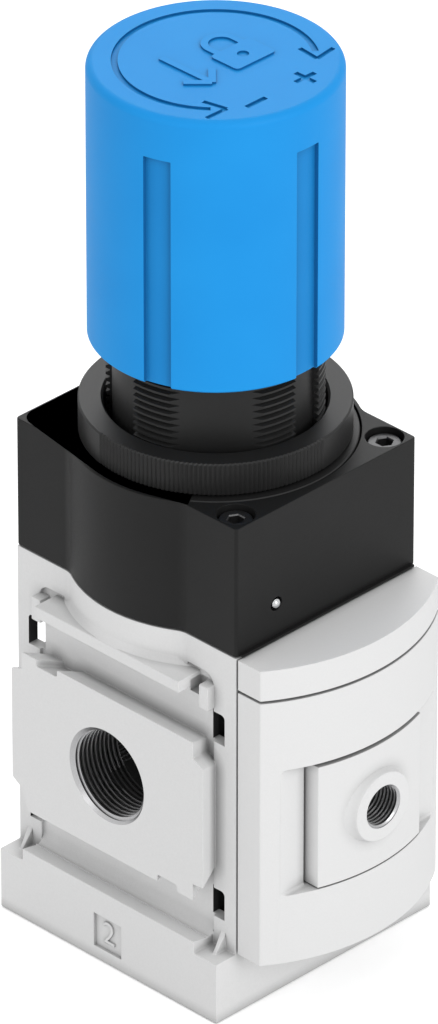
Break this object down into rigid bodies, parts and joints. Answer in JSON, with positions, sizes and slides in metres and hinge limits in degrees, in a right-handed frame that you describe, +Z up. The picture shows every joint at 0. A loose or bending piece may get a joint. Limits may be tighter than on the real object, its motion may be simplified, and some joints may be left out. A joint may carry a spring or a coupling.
{
  "type": "precision pressure regulator",
  "caption": "Compressed-air pressure regulator: push-to-lock hand knob, panel ring nut, black spring housing, light grey body with threaded ports and a curved front with a gauge port.",
  "frame": {"origin": "centre of the foot's underside, on the knob's axis, in the flat centre of the flush bottom plug", "axes": "+Z up along the knob's axis; -X is the side of port 2, +X the side of port 1; -Y is the curved front with the gauge port"},
  "size_m": [0.062, 0.0783, 0.1971],
  "materials": {
    "grey_painted_casting": "satin light grey paint on die-cast metal",
    "grey_plastic": "satin light grey moulded plastic",
    "black_plastic": "satin black moulded plastic",
    "blue_plastic": "satin blue moulded plastic",
    "screw_steel": "plain steel",
    "spring_steel": "dark spring steel",
    "valve_brass": "turned brass",
    "plate_aluminium": "plain aluminium",
    "seal_rubber": "matte black rubber"
  },
  "bodies": {
    "regulator_body": {"housing": "grey_painted_casting", "front_cover": "grey_plastic", "front_cap": "grey_plastic", "gauge_adapter": "grey_plastic", "adapter_ring": "seal_rubber", "spring_housing": "black_plastic", "cover_screw_1": "screw_steel", "cover_screw_2": "screw_steel", "cover_screw_3": "screw_steel", "cover_screw_4": "screw_steel", "vent_ball": "screw_steel", "bonnet": "black_plastic", "snap_ring": "spring_steel", "lock_ring": "black_plastic", "thrust_washer": "valve_brass", "range_spring": "spring_steel", "main_diaphragm": "seal_rubber", "baffle_plate": "plate_aluminium", "valve_seat": "valve_brass", "valve_spring": "spring_steel", "bottom_plug": "plate_aluminium", "plug_ring": "seal_rubber"},
    "spindle_group": {"spindle": "screw_steel", "spindle_circlip": "spring_steel"},
    "knob_group": {"knob": "blue_plastic"},
    "nut_group": {"spring_nut": "screw_steel"},
    "ring_nut_group": {"panel_nut": "black_plastic"},
    "valve_group": {"valve_poppet": "valve_brass", "valve_disc": "seal_rubber", "valve_stem": "screw_steel", "poppet_ring": "seal_rubber"},
    "plate_group": {"lower_plate": "plate_aluminium", "spring_plate": "screw_steel", "relief_seat": "valve_brass", "plate_nut": "valve_brass"}
  },
  "joints": [
    {"name": "knob_turn", "type": "hinge", "parent": "regulator_body", "child": "spindle_group", "pos_m": [0, 0, 0.1356], "axis": [0, 0, 1], "range_deg": [-1350, 0]},
    {"name": "knob_push", "type": "slide", "parent": "spindle_group", "child": "knob_group", "axis": [0, 0, 1], "range_m": [-0.005, 0]},
    {"name": "nut_travel", "type": "slide", "parent": "regulator_body", "child": "nut_group", "axis": [0, 0, 1], "range_m": [-0.0076, 0], "deforming": ["range_spring"]},
    {"name": "ring_nut_turn", "type": "hinge", "parent": "regulator_body", "child": "ring_nut_group", "pos_m": [0, 0, 0.1139], "axis": [0, 0, 1], "range_deg": [0, 3480]},
    {"name": "valve_stroke", "type": "slide", "parent": "regulator_body", "child": "valve_group", "axis": [0, 0, 1], "range_m": [-0.002, 0], "stiffness_N_per_m": 2000, "springref_m": 0.002, "deforming": ["valve_spring"]},
    {"name": "diaphragm_stroke", "type": "slide", "parent": "regulator_body", "child": "plate_group", "axis": [0, 0, 1], "range_m": [-0.002, 0], "deforming": ["main_diaphragm", "range_spring"]}
  ],
  "couplings": [
    {"joint": "nut_travel", "follows": "knob_turn", "m_per_rad": 0.00031831},
    {"joint": "diaphragm_stroke", "follows": "valve_stroke", "ratio": 1}
  ]
}
